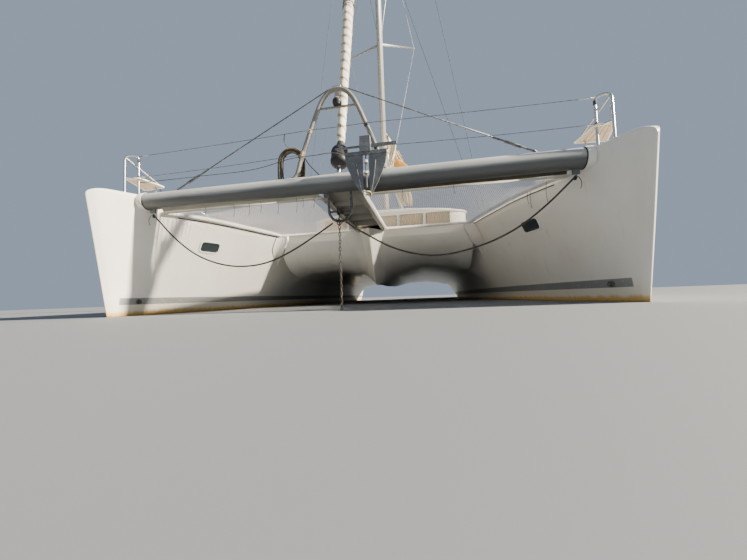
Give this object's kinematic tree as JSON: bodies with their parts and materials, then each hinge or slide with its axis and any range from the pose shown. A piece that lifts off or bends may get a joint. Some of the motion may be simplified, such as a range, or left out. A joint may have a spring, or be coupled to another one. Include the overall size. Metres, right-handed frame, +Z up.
{
  "type": "cruising sailing catamaran",
  "caption": "Cruising catamaran afloat at anchor with deckhouse, hardtop, nets between the bows, tall sloop rig with furled headsail and stowed mainsail.",
  "frame": {"origin": "on the waterline, on the centreline, half way along the 13.6 m length overall", "axes": "+X to port, +Y aft, +Z up; the waterline is the plane z = 0"},
  "size_m": [7.7, 13.6461, 21.1],
  "materials": {
    "gelcoat": "white gelcoat, weathered",
    "black_casing": "satin",
    "bronze": "satin",
    "beige_cloth": "woven",
    "tinted_glass": "tinted",
    "alloy": "anodised, satin",
    "steel": "polished stainless",
    "galvanised": "galvanised, mottled",
    "net": "woven mesh",
    "seat_slab": "varnished",
    "sailcloth": "cream canvas",
    "upholstery": "woven",
    "joinery": "satin varnish",
    "rope": "braided"
  },
  "bodies": {
    "boat": {"hull_port": "gelcoat", "hull_starboard": "gelcoat", "bridgedeck": "gelcoat", "keel_port": "gelcoat", "keel_starboard": "gelcoat", "drive_port": "black_casing", "drive_starboard": "black_casing", "deckhouse": "gelcoat", "window_screens": "beige_cloth", "window_glass": "tinted_glass", "aft_window": "tinted_glass", "coachroof": "gelcoat", "saloon_settee": "upholstery", "saloon_table": "joinery", "galley": "joinery", "cockpit_settee": "upholstery", "cockpit_table": "joinery", "helm_console": "gelcoat", "helm_seat": "upholstery", "hardtop": "gelcoat", "crossbeam": "alloy", "striker_arch": "alloy", "striker_stays": "steel", "centre_spar": "alloy", "bow_roller": "steel", "anchor_chain": "galvanised", "anchor": "galvanised", "trampoline_port": "net", "trampoline_starboard": "net", "bow_rails": "steel", "bow_seat_port": "seat_slab", "bow_seat_starboard": "seat_slab", "guard_rail_port": "steel", "guard_rail_starboard": "steel", "mast": "alloy", "shrouds_port": "steel", "shrouds_starboard": "steel", "forestay": "steel", "bridle_port": "rope", "bridle_starboard": "rope", "rope_hank": "rope"},
    "boom_and_bag": {"boom": "alloy", "lazy_bag": "sailcloth", "hanging_cloth": "sailcloth"},
    "headsail": {"furled_headsail": "sailcloth"},
    "port_rudder": {"rudder_port": "gelcoat"},
    "starboard_rudder": {"rudder_starboard": "gelcoat"},
    "port_propeller": {"propeller_port": "bronze"},
    "starboard_propeller": {"propeller_starboard": "bronze"},
    "helm_wheel": {"steering_wheel": "steel"},
    "sliding_door": {"saloon_door": "alloy"},
    "port_hatch": {"deck_hatch_port": "tinted_glass"},
    "starboard_hatch": {"deck_hatch_starboard": "tinted_glass"},
    "port_locker": {"locker_lid_port": "gelcoat"},
    "starboard_locker": {"locker_lid_starboard": "gelcoat"},
    "swim_ladder": {"boarding_ladder": "steel"}
  },
  "joints": [
    {"name": "boom_swing", "type": "hinge", "parent": "boat", "child": "boom_and_bag", "pos_m": [0, -1.49, 4.15], "axis": [0, 0, 1], "range_deg": [-60, 60]},
    {"name": "headsail_furl", "type": "hinge", "parent": "boat", "child": "headsail", "pos_m": [0, -6.294, 1.7], "axis": [0, 0.2712, 0.9625], "continuous": true},
    {"name": "rudder_port_turn", "type": "hinge", "parent": "boat", "child": "port_rudder", "pos_m": [3.05, 6.15, -0.24], "axis": [0, 0, 1], "range_deg": [-35, 35]},
    {"name": "rudder_starboard_turn", "type": "hinge", "parent": "boat", "child": "starboard_rudder", "pos_m": [-3.05, 6.15, -0.24], "axis": [0, 0, 1], "range_deg": [-35, 35]},
    {"name": "wheel_turn", "type": "hinge", "parent": "boat", "child": "helm_wheel", "pos_m": [1.25, 3.06, 1.78], "axis": [0, -1, 0], "range_deg": [-430, 430]},
    {"name": "propeller_port_spin", "type": "hinge", "parent": "boat", "child": "port_propeller", "pos_m": [3.05, 4.07, -0.88], "axis": [0, 1, 0], "continuous": true},
    {"name": "propeller_starboard_spin", "type": "hinge", "parent": "boat", "child": "starboard_propeller", "pos_m": [-3.05, 4.07, -0.88], "axis": [0, 1, 0], "continuous": true},
    {"name": "door_slide", "type": "slide", "parent": "boat", "child": "sliding_door", "axis": [1, 0, 0], "range_m": [0, 0.72]},
    {"name": "hatch_port_lift", "type": "hinge", "parent": "boat", "child": "port_hatch", "pos_m": [3.05, -2.56, 1.4253], "axis": [1, 0, 0], "range_deg": [0, 80]},
    {"name": "hatch_starboard_lift", "type": "hinge", "parent": "boat", "child": "starboard_hatch", "pos_m": [-3.05, -2.56, 1.4253], "axis": [1, 0, 0], "range_deg": [0, 80]},
    {"name": "locker_port_lift", "type": "hinge", "parent": "boat", "child": "port_locker", "pos_m": [0.9, -3.6, 1.4253], "axis": [1, 0, 0], "range_deg": [0, 80]},
    {"name": "locker_starboard_lift", "type": "hinge", "parent": "boat", "child": "starboard_locker", "pos_m": [-0.9, -3.6, 1.4253], "axis": [1, 0, 0], "range_deg": [0, 80]},
    {"name": "ladder_fold", "type": "hinge", "parent": "boat", "child": "swim_ladder", "pos_m": [3.01, 6.828, 0.32], "axis": [-1, 0, 0], "range_deg": [0, 175]}
  ],
  "couplings": [
    {"joint": "rudder_starboard_turn", "follows": "rudder_port_turn", "ratio": 1},
    {"joint": "wheel_turn", "follows": "rudder_port_turn", "ratio": 12}
  ]
}
